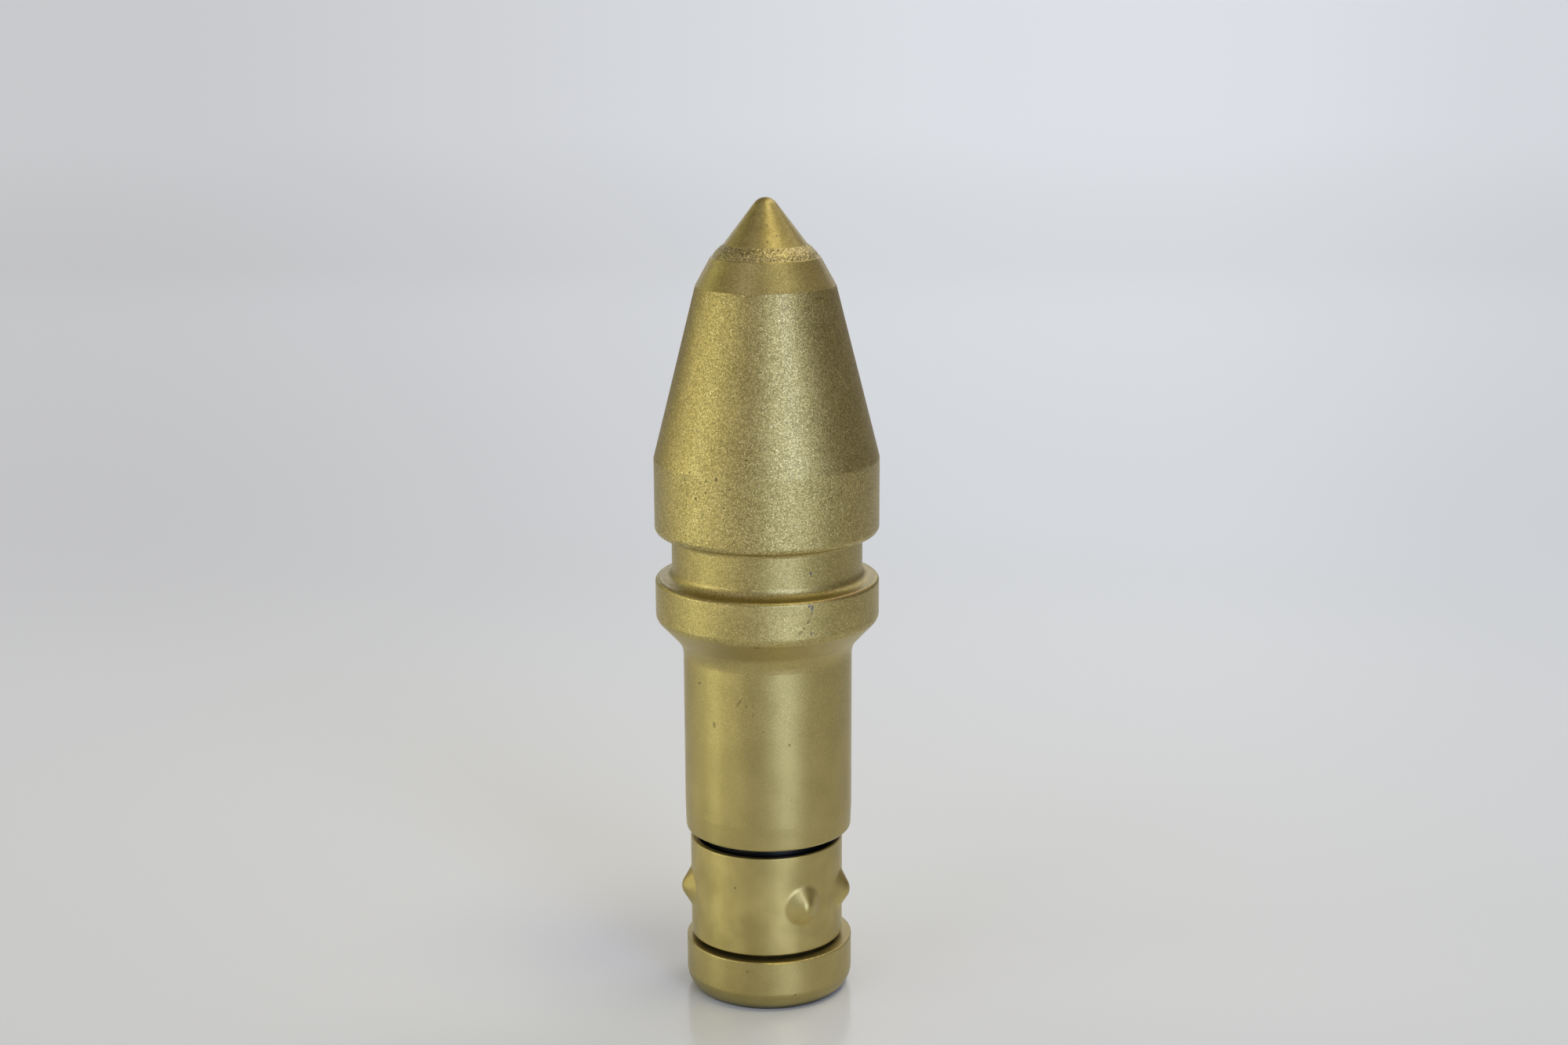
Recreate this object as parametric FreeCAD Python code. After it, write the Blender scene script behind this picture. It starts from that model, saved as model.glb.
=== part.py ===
import FreeCAD, Part
import math
import os
from FreeCAD import Vector

# A round-shank trencher tooth standing on the flat end of its shank, point upwards.
# Millimetres. Z is the tooth's own axis and Z = 0 is the flat end. The front is -Y.

# End button, which keeps the sleeve on
button_radius = 15.0
button_length = 9.5
button_base_radius = 13.3
button_edge_height = 3.3
button_edge_crown = 0.4
button_top_round = 0.25

# Keeper groove and its sleeve
core_radius = 12.0
groove_corner_round = 0.7
keeper_play = 0.5
keeper_wall = 1.22
keeper_height = 18.35
keeper_lift = 0.8
keeper_top_gap = 1.7
keeper_rest_gap = 0.1
keeper_edge_round = 0.25
slit_width = 3.6

# Pressed dimples of the sleeve, two on each side of its plain back
keeper_back_angle = -26.5
dimple_first_angle = 56.0
dimple_pitch_angle = 46.0
dimples_each_side = 2
dimple_height = 1.78
dimple_foot_radius = 3.6
dimple_point_radius = 2.5
dimple_root_round = 1.5
dimple_rise = 8.8
dimple_wall = 1.2

# Shank, collar and neck
shank_radius = 15.0
shank_length = 32.4
shank_lead_length = 4.2
shank_lead_depth = 0.17
shank_end_round = 0.5
seat_fillet = 4.5
seat_angle = 43.0
collar_radius = 19.78
collar_length = 8.3
collar_low_chamfer = 1.0
collar_low_round = 1.8
collar_top_round = 0.7
neck_radius = 16.83
neck_length = 8.0
neck_foot_round = 1.7
neck_top_round = 1.0

# Head, from its underside to the rim of the carbide's pocket
head_radius = 19.79
head_length = 13.4
head_low_round = 1.3
head_shoulder_round = 2.0
taper_length = 30.05
taper_top_radius = 12.2
taper_top_round = 1.0
nose_length = 5.0
rim_radius = 9.45
rim_round = 0.2

# Carbide insert, and the braze that holds it
carbide_radius = 7.24
carbide_exposed_height = 8.0
carbide_point_radius = 2.4
carbide_seat_depth = 6.5
carbide_foot_chamfer = 0.9
braze_bead_height = 2.1
braze_bead_crown = 0.12
braze_film = 0.12

# Heights that follow from the lengths above
groove_low = button_length
keeper_low = groove_low + keeper_lift
groove_top = keeper_low + keeper_height + keeper_top_gap
seat_start = groove_top + shank_length
seat_lift = seat_fillet * math.tan(math.radians(seat_angle) / 2)
cone_start = seat_start + seat_lift
collar_low_radius = collar_radius - collar_low_chamfer
collar_low = cone_start + (collar_low_radius - shank_radius) / math.tan(math.radians(seat_angle))
collar_top = collar_low + collar_length
head_low = collar_top + neck_length
taper_start = head_low + head_length
nose_start = taper_start + taper_length
rim_height = nose_start + nose_length
cone_foot = rim_height + braze_bead_height
point_height = cone_foot + carbide_exposed_height
pocket_radius = carbide_radius + braze_film
carbide_foot = rim_height - carbide_seat_depth
pocket_floor = carbide_foot - braze_film

# Places of the sleeve, which leans on its groove with a hair's gap at one side
keeper_bore = core_radius + keeper_play
keeper_radius = keeper_bore + keeper_wall
keeper_shift = keeper_play - keeper_rest_gap
dimple_z = keeper_low + dimple_rise

AXIS_FOOT = Vector(0, 0, 0)
UP = Vector(0, 0, 1)
OUTWARD = Vector(1, 0, 0)
QUARTER_TURN = 90
HALF_TURN = 180
FULL_TURN = 360

# A dimple's form starts inside the wall, where its foot would be this many times as wide
DIMPLE_ROOM = 1.5
# The root edges of a bump lie on the wall to within this distance, tested at so many points
WALL_TOLERANCE = 0.01
ROOT_TEST_POINTS = 5


def at(radius, height):
    """A point of a half section, in the plane through the axis."""
    return Vector(radius, 0, height)


def bowed(start, end, crown):
    """An arc from start to end whose middle stands off the straight line, to the right of the way."""
    along = end - start
    side = Vector(along.z, 0, -along.x).normalize()
    middle = (start + end) * 0.5 + side * crown
    return Part.Arc(start, middle, end).toShape()


def rounded_path(corners):
    """Straight edges through (radius, height, round) corners, with a tangent arc at each rounded one."""
    points = [at(radius, height) for radius, height, _ in corners]
    edges = []
    last = points[0]
    for before, corner, after, spec in zip(points, points[1:], points[2:], corners[1:]):
        arc_radius = spec[2]
        into = (corner - before).normalize()
        out = (after - corner).normalize()
        turn = into.getAngle(out)
        if arc_radius == 0 or turn == 0:
            edges.append(Part.LineSegment(last, corner).toShape())
            last = corner
            continue
        reach = arc_radius * math.tan(turn / 2)
        start = corner - into * reach
        end = corner + out * reach
        inward = (out - into).normalize()
        centre = corner + inward * (arc_radius / math.cos(turn / 2))
        middle = centre - inward * arc_radius
        edges.append(Part.LineSegment(last, start).toShape())
        edges.append(Part.Arc(start, middle, end).toShape())
        last = end
    edges.append(Part.LineSegment(last, points[-1]).toShape())
    return edges


def turned(edges):
    """A solid of revolution about Z from a closed half section."""
    face = Part.Face(Part.Wire(edges))
    solid = face.revolve(AXIS_FOOT, UP, FULL_TURN)
    return solid if solid.Volume > 0 else solid.reversed()


def tooth_body():
    """The forged and turned steel tooth, one piece from the flat end to the rim of the pocket."""
    base_edge = at(button_base_radius, 0)
    button_side = at(button_radius, button_edge_height)
    edges = [Part.LineSegment(at(0, 0), base_edge).toShape()]
    edges.append(bowed(base_edge, button_side, button_edge_crown))
    outside = [
        (button_radius, button_edge_height, 0),
        (button_radius, groove_low, button_top_round),
        (core_radius, groove_low, groove_corner_round),
        (core_radius, groove_top, groove_corner_round),
        (shank_radius - shank_lead_depth, groove_top, shank_end_round),
        (shank_radius, groove_top + shank_lead_length, 0),
        (shank_radius, cone_start, seat_fillet),
        (collar_low_radius, collar_low, 0),
        (collar_radius, collar_low + collar_low_chamfer, collar_low_round),
        (collar_radius, collar_top, collar_top_round),
        (neck_radius, collar_top, neck_foot_round),
        (neck_radius, head_low, neck_top_round),
        (head_radius, head_low, head_low_round),
        (head_radius, taper_start, head_shoulder_round),
        (taper_top_radius, nose_start, taper_top_round),
        (rim_radius, rim_height, rim_round),
        (pocket_radius, rim_height, 0),
        (pocket_radius, pocket_floor, 0),
        (0, pocket_floor, 0),
    ]
    edges += rounded_path(outside)
    edges.append(Part.LineSegment(at(0, pocket_floor), at(0, 0)).toShape())
    return turned(edges)


def blunt_half_angle(foot_radius, height, point_radius):
    """Half the angle of a cone that rises from its foot and runs tangent into a round point."""
    rise = height - point_radius
    reach = math.hypot(foot_radius, rise)
    return math.acos(point_radius / reach) - math.atan2(rise, foot_radius)


def carbide_tip():
    """The cemented carbide insert: a stub in the pocket under a cone with a round point."""
    half_angle = blunt_half_angle(carbide_radius, carbide_exposed_height, carbide_point_radius)
    top = at(0, point_height)
    ball = at(0, point_height - carbide_point_radius)
    touch = ball + at(math.cos(half_angle), math.sin(half_angle)) * carbide_point_radius
    between = (math.pi / 2 + half_angle) / 2
    middle = ball + at(math.cos(between), math.sin(between)) * carbide_point_radius
    chamfer_radius = carbide_radius - carbide_foot_chamfer
    outside = [
        (0, carbide_foot, 0),
        (chamfer_radius, carbide_foot, 0),
        (carbide_radius, carbide_foot + carbide_foot_chamfer, 0),
        (carbide_radius, cone_foot, 0),
        (touch.x, touch.z, 0),
    ]
    edges = rounded_path(outside)
    edges.append(Part.Arc(touch, middle, top).toShape())
    edges.append(Part.LineSegment(top, at(0, carbide_foot)).toShape())
    return turned(edges)


def braze_seam():
    """The braze metal: a film under and round the stub, ending in a bead between the rim and the cone."""
    chamfer_radius = carbide_radius - carbide_foot_chamfer
    rim_edge = at(rim_radius - rim_round, rim_height)
    cone_edge = at(carbide_radius, cone_foot)
    lining = [
        (carbide_radius, cone_foot, 0),
        (carbide_radius, carbide_foot + carbide_foot_chamfer, 0),
        (chamfer_radius, carbide_foot, 0),
        (0, carbide_foot, 0),
        (0, pocket_floor, 0),
        (pocket_radius, pocket_floor, 0),
        (pocket_radius, rim_height, 0),
        (rim_radius - rim_round, rim_height, 0),
    ]
    edges = rounded_path(lining)
    edges.append(bowed(rim_edge, cone_edge, braze_bead_crown))
    return turned(edges)


def dimple_form(wall_radius, set_back):
    """A blunt cone along +X through a wall of this radius: the bump, or the dent set back behind it.

    It is narrowed across, so that its foot on the bent wall is as wide as it is high.
    """
    half_angle = blunt_half_angle(dimple_foot_radius, dimple_height, dimple_point_radius)
    point = keeper_radius + dimple_height - set_back
    ball = Vector(point - dimple_point_radius, 0, 0)
    apex = Vector(point, 0, 0)
    touch = ball + Vector(math.sin(half_angle), 0, math.cos(half_angle)) * dimple_point_radius
    between = (math.pi / 2 + half_angle) / 2
    middle = ball + Vector(math.sin(between), 0, math.cos(between)) * dimple_point_radius

    def cone_radius(distance):
        return touch.z + (touch.x - distance) * math.tan(half_angle)

    back = math.sqrt(wall_radius ** 2 - (DIMPLE_ROOM * dimple_foot_radius) ** 2)
    root = Vector(back, 0, cone_radius(back))
    edges = [
        Part.LineSegment(Vector(back, 0, 0), root).toShape(),
        Part.LineSegment(root, touch).toShape(),
        Part.Arc(touch, middle, apex).toShape(),
        Part.LineSegment(apex, Vector(back, 0, 0)).toShape(),
    ]
    solid = Part.Face(Part.Wire(edges)).revolve(AXIS_FOOT, OUTWARD, FULL_TURN)
    solid = solid if solid.Volume > 0 else solid.reversed()
    beside = math.sqrt(keeper_radius ** 2 - dimple_foot_radius ** 2)
    narrowing = FreeCAD.Matrix()
    narrowing.A22 = dimple_foot_radius / cone_radius(beside - set_back)
    solid = solid.transformGeometry(narrowing)
    solid.translate(Vector(0, 0, dimple_z))
    return solid


def at_dimples(form):
    """One copy of a form along +X for each dimple, counted from the sleeve's back, which faces -X."""
    copies = []
    for side in (-1, 1):
        for step in range(dimples_each_side):
            from_back = dimple_first_angle + step * dimple_pitch_angle
            copy = form.copy()
            copy.rotate(AXIS_FOOT, UP, HALF_TURN + side * from_back)
            copies.append(copy)
    return copies


def bump_roots(sleeve):
    """The edges where the bumps leave the sleeve's outer wall."""
    foot_reach = DIMPLE_ROOM * dimple_foot_radius
    roots = []
    for edge in sleeve.Edges:
        if edge.Degenerated:
            continue
        first, last = edge.ParameterRange
        step = (last - first) / (ROOT_TEST_POINTS - 1)
        points = [edge.valueAt(first + step * count) for count in range(ROOT_TEST_POINTS)]
        off_wall = max(abs(math.hypot(point.x, point.y) - keeper_radius) for point in points)
        off_dimple = max(abs(point.z - dimple_z) for point in points)
        if off_wall < WALL_TOLERANCE and off_dimple < foot_reach:
            roots.append(edge)
    return roots


def keeper_sleeve():
    """The split spring sleeve, which snaps into the holder's bore by its pressed dimples."""
    middle = keeper_low + keeper_height / 2
    top = keeper_low + keeper_height
    wall = [
        (keeper_bore, middle, 0),
        (keeper_bore, keeper_low, keeper_edge_round),
        (keeper_radius, keeper_low, keeper_edge_round),
        (keeper_radius, top, keeper_edge_round),
        (keeper_bore, top, keeper_edge_round),
        (keeper_bore, middle, 0),
    ]
    sleeve = turned(rounded_path(wall))
    slit = Part.makeBox(2 * keeper_radius, slit_width, 2 * keeper_height)
    slit.translate(Vector(0, -slit_width / 2, middle - keeper_height))
    sleeve = sleeve.cut(slit)
    for bump in at_dimples(dimple_form(keeper_radius, 0)):
        sleeve = sleeve.fuse(bump)
    sleeve = sleeve.makeFillet(dimple_root_round, bump_roots(sleeve))
    for dent in at_dimples(dimple_form(keeper_bore, dimple_wall)):
        sleeve = sleeve.cut(dent)
    sleeve.rotate(AXIS_FOOT, UP, keeper_back_angle + QUARTER_TURN)
    sleeve.translate(OUTWARD * -keeper_shift)
    return sleeve.Solids[0]


def export(name, shape):
    """Writes one piece under its own name."""
    shape.exportStep(os.path.join("parts", name + ".step"))
    box = shape.BoundBox
    sizes = "x".join(f"{length:.2f}" for length in (box.XLength, box.YLength, box.ZLength))
    print(f"{name}: {len(shape.Solids)} solid, {shape.Volume:.0f} mm3, {sizes} mm, valid {shape.isValid()}")


os.makedirs("parts", exist_ok=True)
export("tooth_body", tooth_body())
export("carbide_tip", carbide_tip())
export("braze_seam", braze_seam())
export("keeper_sleeve", keeper_sleeve())
print(f"overall height {point_height:.2f} mm")
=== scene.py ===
import math

import bpy
from mathutils import Matrix, Vector


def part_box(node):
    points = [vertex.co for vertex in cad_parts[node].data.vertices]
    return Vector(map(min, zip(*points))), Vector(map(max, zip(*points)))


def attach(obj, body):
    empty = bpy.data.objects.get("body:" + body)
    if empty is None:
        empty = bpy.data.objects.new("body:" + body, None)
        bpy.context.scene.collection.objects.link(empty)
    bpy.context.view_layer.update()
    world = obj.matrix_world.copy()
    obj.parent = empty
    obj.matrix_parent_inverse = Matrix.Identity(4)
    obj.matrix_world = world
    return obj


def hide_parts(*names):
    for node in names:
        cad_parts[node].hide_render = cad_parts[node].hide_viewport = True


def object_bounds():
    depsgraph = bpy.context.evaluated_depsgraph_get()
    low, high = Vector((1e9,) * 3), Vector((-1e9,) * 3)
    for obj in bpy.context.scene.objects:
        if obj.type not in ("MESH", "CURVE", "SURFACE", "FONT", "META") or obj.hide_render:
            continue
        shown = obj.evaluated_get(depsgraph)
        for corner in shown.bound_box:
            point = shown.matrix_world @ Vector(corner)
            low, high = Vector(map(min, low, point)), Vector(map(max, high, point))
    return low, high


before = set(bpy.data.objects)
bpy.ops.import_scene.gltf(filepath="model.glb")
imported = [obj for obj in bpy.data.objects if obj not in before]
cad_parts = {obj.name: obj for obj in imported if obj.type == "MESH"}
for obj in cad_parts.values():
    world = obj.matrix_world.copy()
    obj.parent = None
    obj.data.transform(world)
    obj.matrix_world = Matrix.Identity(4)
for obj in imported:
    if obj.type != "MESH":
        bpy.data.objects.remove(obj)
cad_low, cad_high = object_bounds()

# A trencher tooth, spray-painted gold, standing on a pale table. Blender works in metres;
# the sizes below are in millimetres, and MM turns them into metres.
MM = 0.001

# Heights on the tooth, from the flat end up: the sleeve's groove, the collar, the head and the nose
GROOVE_LOW = 9.5
GROOVE_TOP = 30.35
COLLAR_LOW = 68.6
COLLAR_TOP = 76.9
HEAD_LOW = 84.9
NOSE_START = 128.3
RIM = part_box("tooth_body")[1].z / MM
CONE_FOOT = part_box("braze_seam")[1].z / MM
POINT = cad_high.z / MM

# Radii of the core in the groove, of the collar, of the pocket's rim and of the cone's foot
CORE_RADIUS = 12.0
COLLAR_RADIUS = 19.8
RIM_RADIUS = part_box("braze_seam")[1].x / MM
CONE_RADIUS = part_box("carbide_tip")[1].x / MM


class Wire:
    """A shader socket that takes part in Python sums; a sum of wires adds its Math nodes."""

    def __init__(self, finish, socket):
        self.finish = finish
        self.socket = socket

    def math(self, operation, first, second):
        return self.finish.node("Math", {0: first, 1: second}, operation=operation)

    def __add__(self, other):
        return self.math("ADD", self, other)

    def __sub__(self, other):
        return self.math("SUBTRACT", self, other)

    def __mul__(self, other):
        return self.math("MULTIPLY", self, other)

    def __truediv__(self, other):
        return self.math("DIVIDE", self, other)

    def __pow__(self, other):
        return self.math("POWER", self, other)

    def __rsub__(self, other):
        return self.math("SUBTRACT", other, self)

    __radd__ = __add__
    __rmul__ = __mul__


class Finish:
    """One material and the nodes that paint it. Places and lengths in it are in millimetres."""

    def __init__(self, name):
        self.material = bpy.data.materials.new(name)
        self.material.use_nodes = True
        self.tree = self.material.node_tree
        self.tree.nodes.clear()
        metres = self.node("TexCoord", out="Object")
        self.place = self.node("VectorMath", {0: metres, "Scale": 1 / MM}, operation="SCALE")
        self.x = self.node("SeparateXYZ", {0: self.place}, out="X")
        self.y = self.node("SeparateXYZ", {0: self.place}, out="Y")
        self.z = self.node("SeparateXYZ", {0: self.place}, out="Z")
        self.radius = (self.x * self.x + self.y * self.y) ** 0.5
        # Azimuth in degrees, 0 at the front and positive towards +X
        turn = self.node("Math", {0: self.x, 1: 0 - self.y}, operation="ARCTAN2")
        self.azimuth = turn * math.degrees(1)

    def node(self, kind, feeds=None, out=0, **settings):
        """Adds a node: first its settings, then the numbers or wires of its sockets."""
        made = self.tree.nodes.new("ShaderNode" + kind)
        for name, value in settings.items():
            setattr(made, name, value)
        for name, value in (feeds or {}).items():
            if isinstance(value, Wire):
                self.tree.links.new(value.socket, made.inputs[name])
            else:
                made.inputs[name].default_value = value
        return Wire(self, made.outputs[out])

    def smooth(self, value, low, high):
        """0 at low, 1 at high and beyond, and a soft rise between."""
        feeds = {"Value": value, "From Min": low, "From Max": high}
        return self.node("MapRange", feeds, interpolation_type="SMOOTHSTEP")

    def between(self, value, low, high, soft):
        """1 from low to high, with soft ends."""
        rise = self.smooth(value, low - soft, low + soft)
        fall = self.smooth(value, high - soft, high + soft)
        return rise * (1 - fall)

    def noise(self, size, detail=2.0, roughness=0.5, distortion=0.0):
        """Cloudy noise about 0, from -0.5 to 0.5, with lumps of about this size."""
        feeds = {"Vector": self.place, "Scale": 1 / size, "Detail": detail}
        feeds.update({"Roughness": roughness, "Distortion": distortion})
        return self.node("TexNoise", feeds) - 0.5

    def flakes(self, size):
        """Hard-edged flakes of this size, each with its own level, from -0.5 to 0.5."""
        cell = self.node("TexVoronoi", {"Vector": self.place, "Scale": 1 / size}, out="Color")
        return self.node("SeparateXYZ", {0: cell}, out="X") - 0.5

    def pores(self, spacing, radius):
        """1 inside small round holes of this radius, scattered about this far apart."""
        feeds = {"Vector": self.place, "Scale": 1 / spacing}
        distance = self.node("TexVoronoi", feeds, out="Distance")
        return 1 - self.smooth(distance * spacing, radius * 0.6, radius)

    def worn_edge(self, radius, height, reach):
        """1 near the ring of this radius and height, with a ragged edge."""
        away = ((self.radius - radius) ** 2 + (self.z - height) ** 2) ** 0.5
        return 1 - self.smooth(away + self.noise(0.7) * 0.5, reach * 0.4, reach)

    def limit(self, value):
        """The value, held between 0 and 1."""
        return self.node("Clamp", {"Value": value})

    def mix(self, factor, low, high):
        """A colour between two, by a factor."""
        feeds = {0: factor, 6: low, 7: high}
        return self.node("Mix", feeds, out=2, data_type="RGBA")

    def tint(self, colour, amount):
        """A colour made lighter or darker by a factor about 1."""
        return self.node("VectorMath", {0: colour, "Scale": amount}, operation="SCALE")

    def mark(self, azimuth, height, length, width, tilt=0):
        """1 inside a small ragged oval on the tooth's side, of this length along a tilted line."""
        across = (self.azimuth - azimuth) * self.radius * math.radians(1)
        up = self.z - height
        lean = math.radians(tilt)
        along = across * math.sin(lean) + up * math.cos(lean)
        aside = across * math.cos(lean) - up * math.sin(lean)
        reach = ((along / length) ** 2 + (aside / width) ** 2) ** 0.5
        return 1 - self.smooth(reach + self.noise(0.5), 0.7, 1.2)

    def metal(self, colour, roughness, height):
        """Ends the material with a metallic surface whose relief is a height in millimetres."""
        normal = self.node("Bump", {"Height": height, "Distance": MM, "Strength": 1.0})
        feeds = {"Base Color": colour, "Metallic": 1.0, "Roughness": roughness, "Normal": normal}
        feeds.update({"Coat Weight": COAT, "Coat Roughness": COAT_ROUGHNESS})
        self.output(self.node("BsdfPrincipled", feeds))

    def output(self, shader):
        """Joins the finished shader to the material's output."""
        out = self.tree.nodes.new("ShaderNodeOutputMaterial")
        self.tree.links.new(shader.socket, out.inputs["Surface"])


# Colours, as linear red, green, blue and alpha
GOLD = (0.55, 0.455, 0.172, 1)
OLD_GOLD = (0.42, 0.343, 0.118, 1)
PALE_GOLD = (0.66, 0.57, 0.28, 1)
BLUE_STEEL = (0.17, 0.18, 0.22, 1)
DARK_STEEL = (0.02, 0.022, 0.025, 1)
# Dark brown of pits, nicks and specks, also used for the painted shade at the button's foot
PIT_AND_SHADE = (0.05, 0.045, 0.02, 1)
RUST = (0.30, 0.16, 0.07, 1)

# The paint's clear binder
COAT = 0.35
COAT_ROUGHNESS = 0.28

# The blasted steel's grain, the paint's flakes and the wide waves in the steel, by their size
COARSE_GRAIN = 0.27
FINE_GRAIN = 0.14
FLAKE_SIZE = 0.16
WIDE_WAVE = 7.0

# How strong the grain is on each part, over the least that is everywhere; the head's is 1
COLLAR_GRAIN = 0.52
NECK_GRAIN = 0.55
NOSE_GRAIN = 0.4
UPPER_SHANK_GRAIN = 0.16
LEAST_GRAIN = 0.14

# How deep each kind of relief goes; the paint stands up beside a scratch
COARSE_DEPTH = 0.055
FINE_DEPTH = 0.02
HEAD_WAVE_DEPTH = 0.12
WAVE_DEPTH = 0.04
PIT_DEPTH = 0.08
NICK_DEPTH = 0.05
CHIP_DEPTH = 0.10
SCRATCH_HEIGHT = 0.08

# Small open pores on the left of the head: their spacing and radius
PORE_SPACING = 1.0
PORE_RADIUS = 0.15

# The marks on the tooth, each by its azimuth, height, half length, half width and tilt.
# Pits on the left of the head
DARK_PITS = (
    (-25, 98.0, 0.30, 0.26, 0), (-37, 94.3, 0.26, 0.24, 0), (-44, 97.2, 0.20, 0.18, 0),
    (-41, 98.6, 0.18, 0.18, 0), (-47, 96.0, 0.18, 0.16, 0), (-31, 95.5, 0.17, 0.15, 0),
    (-21, 93.2, 0.20, 0.16, 20), (-18, 96.4, 0.16, 0.15, 0), (-34, 97.0, 0.15, 0.15, 0),
    (-28, 100.2, 0.16, 0.14, 0), (-49, 103.5, 0.20, 0.16, 0), (-10, 101.4, 0.16, 0.16, 0),
)
# Chips down to the blue steel, on the neck and the collar
BLUE_CHIPS = (
    (21.8, 76.1, 0.30, 0.22, 45), (23.2, 75.6, 0.50, 0.24, 15), (26.8, 80.9, 0.26, 0.2, 0),
    (22.6, 71.2, 0.24, 0.18, 0),
)
# Scratches on the right of the head
PALE_SCRATCHES = (
    (50.0, 125.2, 1.5, 0.07, -4), (52.0, 124.0, 1.1, 0.06, 2), (55.0, 113.2, 1.9, 0.08, -28),
    (58.0, 112.6, 1.3, 0.06, -24), (41.0, 92.5, 0.9, 0.08, 6),
)
# Nicks on the shank, the button and the collar
SHANK_NICKS = (
    (-52.5, 59.7, 0.5, 0.22, 60), (-18.8, 57.6, 1.0, 0.16, 35), (-9.7, 55.5, 0.55, 0.15, 10),
    (-14.0, 57.0, 0.25, 0.14, 0), (-38.3, 52.8, 0.5, 0.35, 0), (14.7, 50.0, 0.2, 0.18, 0),
    (-3.0, 52.5, 0.2, 0.12, 0), (-14.7, 7.6, 0.3, 0.25, 0), (18.3, 3.1, 0.2, 0.17, 0),
    (-5.2, 68.9, 0.16, 0.6, 0), (16.8, 71.5, 0.5, 0.2, 50), (21.1, 73.3, 0.6, 0.18, 40),
    (23.0, 74.8, 0.4, 0.17, 30), (18.6, 72.3, 0.25, 0.18, 0),
)
# Pits on the carbide
CARBIDE_PITS = (
    (3.2, 139.0, 0.2, 0.17, 0), (3.4, 136.5, 0.2, 0.15, 0), (20, 137.4, 0.14, 0.14, 0),
)


def all_marks(f, places):
    """1 inside any of a list of marks."""
    total = 0
    for azimuth, height, length, width, tilt in places:
        total = f.mark(azimuth, height, length, width, tilt) + total
    return total


def body_paint():
    """Gold paint over blasted steel: grainy on the head, finer on the neck, satin on the shank."""
    f = Finish("gold_paint")
    head = f.between(f.z, HEAD_LOW, NOSE_START, 0.4)
    neck = f.between(f.z, COLLAR_TOP - 0.2, HEAD_LOW - 0.2, 0.3)
    collar = f.between(f.z, COLLAR_LOW + 0.6, COLLAR_TOP - 0.2, 0.3)
    nose = f.smooth(f.z, NOSE_START - 0.4, NOSE_START + 0.4)
    upper_shank = f.between(f.z, 50, COLLAR_LOW, 6)
    grain = head + collar * COLLAR_GRAIN + neck * NECK_GRAIN + nose * NOSE_GRAIN
    grain = grain + upper_shank * UPPER_SHANK_GRAIN + LEAST_GRAIN

    coarse = f.noise(COARSE_GRAIN, detail=2.0, roughness=0.6, distortion=1.2)
    fine = f.noise(FINE_GRAIN, detail=1.0)
    flake = f.flakes(FLAKE_SIZE)
    wide = f.noise(WIDE_WAVE, detail=2.0)
    patch = f.noise(1.6, detail=2.0)
    relief = coarse * grain * COARSE_DEPTH + fine * grain * FINE_DEPTH
    relief = relief + wide * head * HEAD_WAVE_DEPTH + wide * WAVE_DEPTH

    shade = f.mix(f.smooth(wide * 0.6 + flake * grain * 0.8, -0.35, 0.35), OLD_GOLD, GOLD)
    shade = f.mix(f.smooth(flake, 0.36, 0.5) * grain, shade, PALE_GOLD)
    level = 1 - head * 0.05 - neck * 0.05
    speckle = (coarse * 0.8 + flake * 0.4) * grain
    colour = f.tint(shade, wide * 0.06 + patch * 0.05 + speckle + level)

    pores = f.pores(PORE_SPACING, PORE_RADIUS) * head
    pores = pores * f.between(f.azimuth, -58, -12, 10) * f.smooth(f.z, 112, 92)
    pits = all_marks(f, DARK_PITS) + pores
    nicks = all_marks(f, SHANK_NICKS)
    chips = all_marks(f, BLUE_CHIPS)
    scratches = all_marks(f, PALE_SCRATCHES)
    worn = f.worn_edge(COLLAR_RADIUS - 0.2, COLLAR_TOP - 0.15, 0.4) * f.between(f.azimuth, 25, 60, 12)
    # Painted shade: the lowest millimetre of the button is darkened as a painted contact shadow, and its
    # low chamfer as a painted dark reflection of the table.
    painted_contact_shade = 1 - f.smooth(f.z, 0.2, 1.1)
    painted_chamfer_shade = 1 - f.smooth(f.z, 2.5, 3.7)
    colour = f.mix(f.limit(worn * 0.5), colour, RUST)
    colour = f.mix(painted_chamfer_shade * 0.24 + painted_contact_shade * 0.6, colour, PIT_AND_SHADE)
    colour = f.mix(f.limit(pits * 0.65), colour, PIT_AND_SHADE)
    colour = f.mix(f.limit(nicks * 0.45), colour, PIT_AND_SHADE)
    colour = f.mix(f.limit(scratches), colour, PALE_GOLD)
    colour = f.mix(f.limit(chips * 0.8), colour, BLUE_STEEL)
    relief = relief - pits * PIT_DEPTH - nicks * NICK_DEPTH - chips * CHIP_DEPTH
    relief = relief + scratches * SCRATCH_HEIGHT

    core = 1 - f.smooth(f.radius, CORE_RADIUS + 0.6, CORE_RADIUS + 1.8)
    inside = core * f.between(f.z, GROOVE_LOW + 0.25, GROOVE_TOP - 0.1, 0.12)
    colour = f.mix(inside, colour, DARK_STEEL)
    roughness = 0.43 - head * 0.04 + patch * 0.05 - coarse * head * 0.15
    f.metal(colour, roughness, relief)
    return f.material


def carbide_paint():
    """The same paint over the smooth sintered carbide, with a few small pits."""
    f = Finish("painted_carbide")
    fine = f.noise(0.3, detail=1.5)
    flake = f.flakes(0.3)
    wide = f.noise(3.0, detail=2.0)
    pits = all_marks(f, CARBIDE_PITS) * 0.45
    relief = fine * 0.005 + wide * 0.10 - pits * PIT_DEPTH
    colour = f.mix(f.smooth(wide + flake * 0.4, -0.3, 0.3), OLD_GOLD, GOLD)
    colour = f.tint(colour, wide * 0.12 + fine * 0.04 + flake * 0.03 + 0.93)
    colour = f.mix(f.limit(pits * 0.8), colour, PIT_AND_SHADE)
    f.metal(colour, 0.50 + fine * 0.05, relief)
    return f.material


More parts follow.
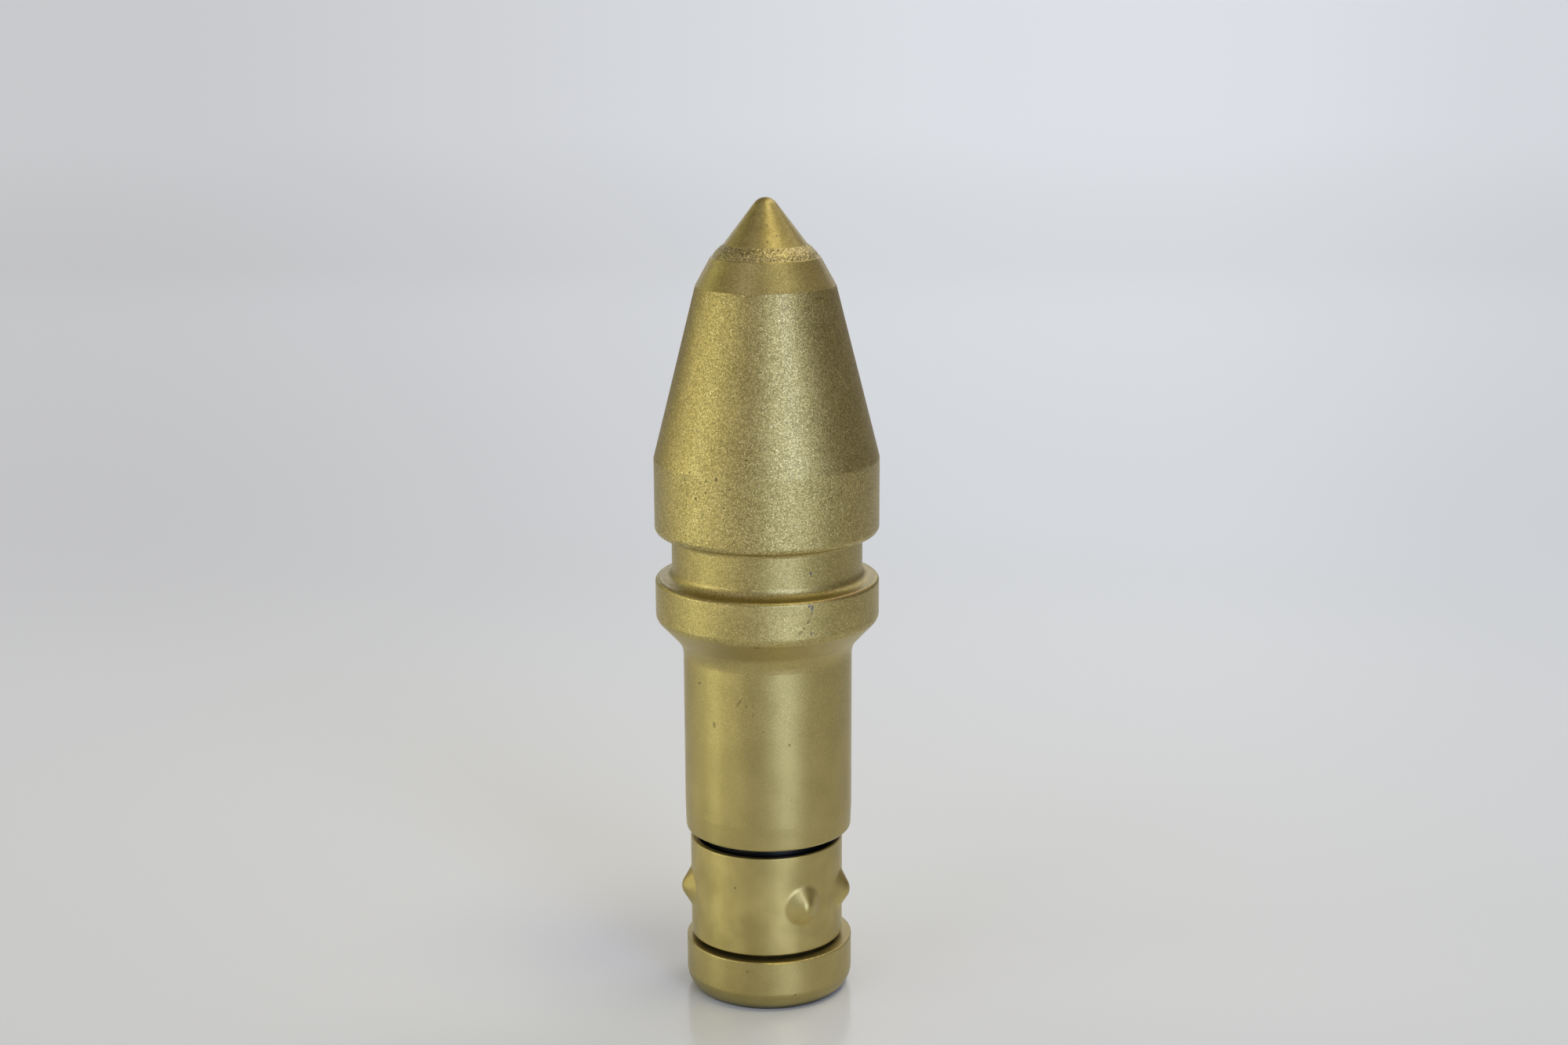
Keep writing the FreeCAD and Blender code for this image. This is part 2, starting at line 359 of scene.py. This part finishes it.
def braze_finish():
    """Paint over the granular braze metal, thin on its grains and deep between them."""
    f = Finish("braze")
    grit = f.noise(0.34, detail=2.5, roughness=0.6)
    wide = f.noise(2.5, detail=2.0)
    flake = f.flakes(0.24)
    smear = f.mark(29.2, 134.4, 0.5, 1.6, 12)
    relief = grit * (1 - smear) * 0.10
    colour = f.mix(f.smooth(grit + flake * 0.5, -0.3, 0.3), OLD_GOLD, PALE_GOLD)
    colour = f.tint(colour, wide * 0.15 + grit * 0.8 + flake * 0.3 + 0.86)
    f.metal(colour, 0.48 + grit * 0.15, relief)
    return f.material


def sleeve_paint():
    """Smooth satin paint over spring steel, bare and dark on the inside."""
    f = Finish("painted_sleeve")
    fine = f.noise(0.3, detail=1.5)
    wide = f.noise(5.0, detail=2.0)
    patch = f.noise(1.2, detail=2.0)
    speck = f.mark(-25.2, 22.8, 0.22, 0.18)
    relief = fine * 0.016 + wide * 0.02 - speck * 0.03
    colour = f.mix(f.smooth(wide, -0.3, 0.35), OLD_GOLD, GOLD)
    colour = f.tint(colour, wide * 0.08 + patch * 0.05 + fine * 0.08 + 1.12)
    colour = f.mix(f.limit(speck * 0.7), colour, PIT_AND_SHADE)
    inside = 1 - f.smooth(f.radius, CORE_RADIUS + 0.95, CORE_RADIUS + 1.3)
    f.metal(f.mix(inside, colour, DARK_STEEL), 0.44 + wide * 0.04, relief)
    return f.material


def paint_nodes():
    """Puts the finishes on the CAD pieces that keep their own mesh."""
    finishes = {
        "tooth_body": body_paint(),
        "carbide_tip": carbide_paint(),
        "keeper_sleeve": sleeve_paint(),
    }
    for name, finish in finishes.items():
        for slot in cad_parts[name].material_slots:
            slot.material = finish


# The braze bead, as a ring with real grains, and the film that goes on under it
BEAD_SIDES = 560
BEAD_RINGS = 24
BEAD_CROWN = 0.12
GRIT_SIZE = 0.42
GRIT_HEIGHT = 0.22
GRIT_MIDDLE = 0.55
SMOOTH_ANGLE = 50
FILM_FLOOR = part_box("braze_seam")[0].z / MM
STUB_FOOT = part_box("carbide_tip")[0].z / MM
FILM_RADIUS = CONE_RADIUS + STUB_FOOT - FILM_FLOOR
FILM_CHAMFER = 0.9


def bead_rings():
    """The braze metal's rings from its floor outwards: radius, height, and whether it is granular."""
    rings = [(FILM_RADIUS, RIM, False), (RIM_RADIUS, RIM, False)]
    for step in range(1, BEAD_RINGS + 1):
        share = step / BEAD_RINGS
        crown = BEAD_CROWN * math.sin(math.pi * share)
        radius = RIM_RADIUS + (CONE_RADIUS - RIM_RADIUS) * share + crown
        height = RIM + (CONE_FOOT - RIM) * share + crown
        rings.append((radius, height, 1 < step < BEAD_RINGS))
    rings.append((CONE_RADIUS, STUB_FOOT + FILM_CHAMFER, False))
    rings.append((CONE_RADIUS - FILM_CHAMFER, STUB_FOOT, False))
    return rings


def braze_bead():
    """The braze metal: a closed film round the stub with the granular bead above the pocket's rim."""
    bpy.ops.object.select_all(action="DESELECT")
    bpy.ops.mesh.primitive_circle_add(
        vertices=BEAD_SIDES, radius=FILM_RADIUS * MM, fill_type="TRIFAN", location=(0, 0, FILM_FLOOR * MM))
    bead = bpy.context.object
    bead.name = "braze_bead"
    bpy.ops.object.transform_apply()
    grains = bead.vertex_groups.new(name="grains")
    bpy.ops.object.mode_set(mode="EDIT")
    bpy.ops.mesh.select_all(action="SELECT")
    bpy.ops.mesh.region_to_loop()
    last_radius, last_height = FILM_RADIUS, FILM_FLOOR
    for radius, height, granular in bead_rings():
        rise = (0, 0, (height - last_height) * MM)
        bpy.ops.mesh.extrude_edges_move(TRANSFORM_OT_translate={"value": rise})
        grow = radius / last_radius
        bpy.ops.transform.resize(value=(grow, grow, 1), center_override=(0, 0, height * MM))
        if granular:
            bpy.ops.object.vertex_group_assign()
        last_radius, last_height = radius, height
    bpy.ops.mesh.extrude_edges_move()
    bpy.ops.mesh.merge(type="CENTER")
    bpy.ops.mesh.select_all(action="SELECT")
    bpy.ops.mesh.normals_make_consistent(inside=False)
    bpy.ops.object.mode_set(mode="OBJECT")

    grit = bpy.data.textures.new("braze_grit", "CLOUDS")
    grit.noise_scale = GRIT_SIZE * MM
    grit.noise_depth = 2
    rough = bead.modifiers.new("grains", "DISPLACE")
    rough.texture = grit
    rough.strength = GRIT_HEIGHT * MM
    rough.mid_level = GRIT_MIDDLE
    rough.vertex_group = grains.name
    bpy.ops.object.modifier_apply(modifier=rough.name)
    bpy.ops.object.shade_smooth_by_angle(angle=math.radians(SMOOTH_ANGLE))
    bead.data.materials.append(braze_finish())
    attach(bead, "tooth")
    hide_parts("braze_seam")


# The table, its own paint, and the pale glow that the camera sees on it away from the tooth, with a
# painted light falloff across it
TABLE_METRES = 80.0
TABLE_COLOUR = (0.86, 0.90, 0.94, 1)
TABLE_ROUGHNESS = 0.2
# The glow's painted light falloff: dimmer at the left, paler and cooler at the right
PALE_LEFT = (0.605, 0.61, 0.63, 1)
PALE_RIGHT = (0.755, 0.785, 0.83, 1)

# The place on the table under the camera is this far in front of the tooth
VIEW_FOOT = 405.0

# How much of the painted pale glow shows near the tooth, further out and far away
NEAR_TONE = 0.08
MIDDLE_TONE = 0.72
FAR_TONE = 0.15

# The room, as it lights the tooth and as the camera sees it past the table
ROOM = (0.18, 0.16, 0.145, 1)
PALE_ROOM = (0.69, 0.71, 0.75, 1)


def table():
    """A pale table without an edge in view, which keeps the tooth's shadow."""
    bpy.ops.object.select_all(action="DESELECT")
    bpy.ops.mesh.primitive_plane_add(size=TABLE_METRES)
    plane = bpy.context.object
    plane.name = "table"
    f = Finish("table")
    lit = f.node("BsdfPrincipled", {"Base Color": TABLE_COLOUR, "Roughness": TABLE_ROUGHNESS})
    reach = (f.x * f.x + (f.y + VIEW_FOOT) ** 2) ** -0.5
    sideways = f.x * reach
    nearness = reach * VIEW_FOOT
    # The camera's glow is painted light falloff: brighter and cooler towards the right, darker at the far
    # right and towards the camera.
    pale = f.mix(f.smooth(sideways, -0.29, 0.14), PALE_LEFT, PALE_RIGHT)
    level = 1 - f.smooth(sideways, 0.16, 0.34) * 0.10 - f.smooth(nearness, 0.3, 0.6) * 0.08
    level = level - f.smooth(nearness, 0.6, 1.0) * 0.08
    painted_falloff_glow = f.node("Emission", {"Color": f.tint(pale, level), "Strength": 1.0})
    seen = f.node("LightPath", out="Is Camera Ray")
    share = f.smooth(f.radius, 15, 400) * MIDDLE_TONE + f.smooth(f.radius, 300, 2500) * FAR_TONE
    share = share + f.smooth(f.radius, 14, 45) * NEAR_TONE
    f.output(f.node("MixShader", {0: seen * share, 1: lit, 2: painted_falloff_glow}))
    plane.data.materials.append(f.material)


# The lamps: name, azimuth, elevation, distance, width, height, power and colour. Azimuth 0 is the camera's
# side and +90 is +X; the distances and sizes are in metres.
LAMPS = (
    ("front low softbox", 15, 6, 1.0, 0.30, 0.28, 1.32, (0.57, 0.69, 1.0)),
    ("front right low softbox", 30, 6, 1.0, 0.30, 0.28, 1.40, (0.57, 0.69, 1.0)),
    ("front right high softbox", 30, 25, 1.0, 0.30, 0.40, 1.67, (0.61, 0.69, 1.0)),
    ("front left low lamp", -45, 6, 1.0, 0.30, 0.28, 0.65, (1.0, 0.93, 0.85)),
    ("front left high lamp", -45, 50, 1.1, 0.50, 0.50, 0.65, (0.90, 0.85, 1.0)),
    ("left softbox", -75, 6, 1.0, 0.30, 0.28, 1.46, (0.97, 1.0, 0.76)),
    ("far left lamp", -105, 8, 1.0, 0.30, 0.30, 0.48, (1.0, 0.90, 0.60)),
    ("back left lamp", -120, 25, 1.0, 0.30, 0.40, 0.39, (0.98, 1.0, 0.50)),
    ("ceiling lamp", 60, 72, 1.2, 0.40, 0.40, 3.00, (1.0, 0.90, 0.58)),
    ("pale back wall", 180, 17, 1.0, 1.20, 0.36, 1.40, (0.90, 0.93, 1.0)),
    ("right back lamp", 135, 50, 1.1, 0.50, 0.50, 1.95, (1.0, 0.92, 0.86)),
)


def lamp(name, azimuth, elevation, distance, width, height, power, colour):
    """A softbox round the tooth, aimed at its middle."""
    data = bpy.data.lights.new(name, "AREA")
    data.shape = "RECTANGLE"
    data.size = width
    data.size_y = height
    data.energy = power
    data.color = colour
    a, e = math.radians(azimuth), math.radians(elevation)
    away = Vector((math.sin(a) * math.cos(e), -math.cos(a) * math.cos(e), math.sin(e)))
    made = bpy.data.objects.new(name, data)
    made.location = Vector((0, 0, POINT * MM / 2)) + away * distance
    made.rotation_mode = "QUATERNION"
    made.rotation_quaternion = away.to_track_quat("Z", "Y")
    bpy.context.scene.collection.objects.link(made)


def studio():
    """A dim room, pale to the camera alone, with warm lamps at the left and cool ones at the front."""
    world = bpy.data.worlds.new("studio")
    bpy.context.scene.world = world
    world.use_nodes = True
    nodes, links = world.node_tree.nodes, world.node_tree.links
    nodes.clear()
    room = nodes.new("ShaderNodeBackground")
    room.inputs["Color"].default_value = ROOM
    pale = nodes.new("ShaderNodeBackground")
    pale.inputs["Color"].default_value = PALE_ROOM
    path = nodes.new("ShaderNodeLightPath")
    mixed = nodes.new("ShaderNodeMixShader")
    out = nodes.new("ShaderNodeOutputWorld")
    links.new(path.outputs["Is Camera Ray"], mixed.inputs[0])
    links.new(room.outputs[0], mixed.inputs[1])
    links.new(pale.outputs[0], mixed.inputs[2])
    links.new(mixed.outputs[0], out.inputs["Surface"])
    for details in LAMPS:
        lamp(*details)


# The camera, fitted to the photograph: its place, and its dip and roll in degrees
CAMERA_PLACE = (3.0, -405.43, 182.09)
CAMERA_DIP = 13.287
CAMERA_ROLL = -0.218
LENS = 54.3
SENSOR = 36.0


def camera():
    """The photograph's camera, a little above the tooth and looking down at it."""
    data = bpy.data.cameras.new("camera")
    data.sensor_width = SENSOR
    data.lens = LENS
    data.clip_start = 10 * MM
    data.clip_end = 100
    made = bpy.data.objects.new("camera", data)
    tip = Matrix.Rotation(math.radians(90 - CAMERA_DIP), 4, "X")
    roll = Matrix.Rotation(math.radians(CAMERA_ROLL), 4, "Z")
    made.matrix_world = Matrix.Translation(Vector(CAMERA_PLACE) * MM) @ tip @ roll
    bpy.context.scene.collection.objects.link(made)
    bpy.context.scene.camera = made


paint_nodes()
braze_bead()
table()
studio()
camera()
bpy.context.scene.view_settings.view_transform = "Standard"
